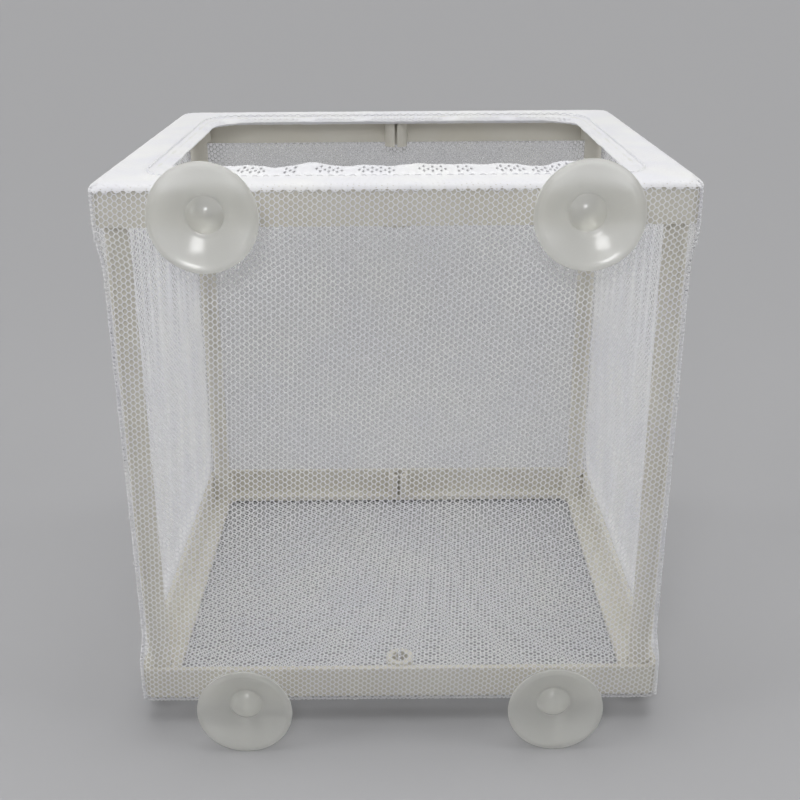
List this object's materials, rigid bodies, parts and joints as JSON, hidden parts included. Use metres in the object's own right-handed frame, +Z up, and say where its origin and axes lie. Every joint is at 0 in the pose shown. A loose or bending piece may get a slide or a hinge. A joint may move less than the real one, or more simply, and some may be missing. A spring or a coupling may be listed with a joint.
{
  "type": "fish breeding net",
  "caption": "Square tulle net box on two moulded plastic rings with corner rods, an elasticated top opening and clear suction cups for aquarium glass.",
  "frame": {"origin": "middle of the whole part, seen from above, at the height of the lowest cup rims", "axes": "+Z up through the open top; -Y to the front, the side with the suction cups; +X to the right seen from the front"},
  "size_m": [0.1626, 0.1604, 0.1778],
  "materials": {
    "ivory_plastic": "satin moulded plastic, off-white",
    "white_tulle": "white knitted tulle with hexagonal meshes",
    "sewn_thread": "white overlocked seam",
    "white_elastic": "white covered elastic",
    "clear_pvc": "frosted clear soft plastic"
  },
  "bodies": {
    "net_box": {"bottom_frame": "ivory_plastic", "top_frame": "ivory_plastic", "post_front_left": "ivory_plastic", "post_front_right": "ivory_plastic", "post_back_left": "ivory_plastic", "post_back_right": "ivory_plastic", "net_front": "white_tulle", "net_back": "white_tulle", "net_left": "white_tulle", "net_right": "white_tulle", "net_floor": "white_tulle", "net_cuff": "white_tulle", "hem_elastic": "white_elastic", "seam_front_left": "sewn_thread", "seam_front_right": "sewn_thread", "seam_back_left": "sewn_thread", "seam_back_right": "sewn_thread", "seam_floor": "sewn_thread"},
    "cup_top_left": {"cup_top_left": "clear_pvc"},
    "cup_top_right": {"cup_top_right": "clear_pvc"},
    "cup_bottom_left": {"cup_bottom_left": "clear_pvc"},
    "cup_bottom_right": {"cup_bottom_right": "clear_pvc"}
  },
  "joints": [
    {"name": "cup_top_left_turn", "type": "hinge", "parent": "net_box", "child": "cup_top_left", "pos_m": [-0.0485, -0.06615, 0.16355], "axis": [0, -1, 0], "continuous": true},
    {"name": "cup_top_right_turn", "type": "hinge", "parent": "net_box", "child": "cup_top_right", "pos_m": [0.0485, -0.06615, 0.16355], "axis": [0, -1, 0], "continuous": true},
    {"name": "cup_bottom_left_turn", "type": "hinge", "parent": "net_box", "child": "cup_bottom_left", "pos_m": [-0.0465, -0.06615, 0.01425], "axis": [0, -1, 0], "continuous": true},
    {"name": "cup_bottom_right_turn", "type": "hinge", "parent": "net_box", "child": "cup_bottom_right", "pos_m": [0.0465, -0.06615, 0.01425], "axis": [0, -1, 0], "continuous": true}
  ]
}
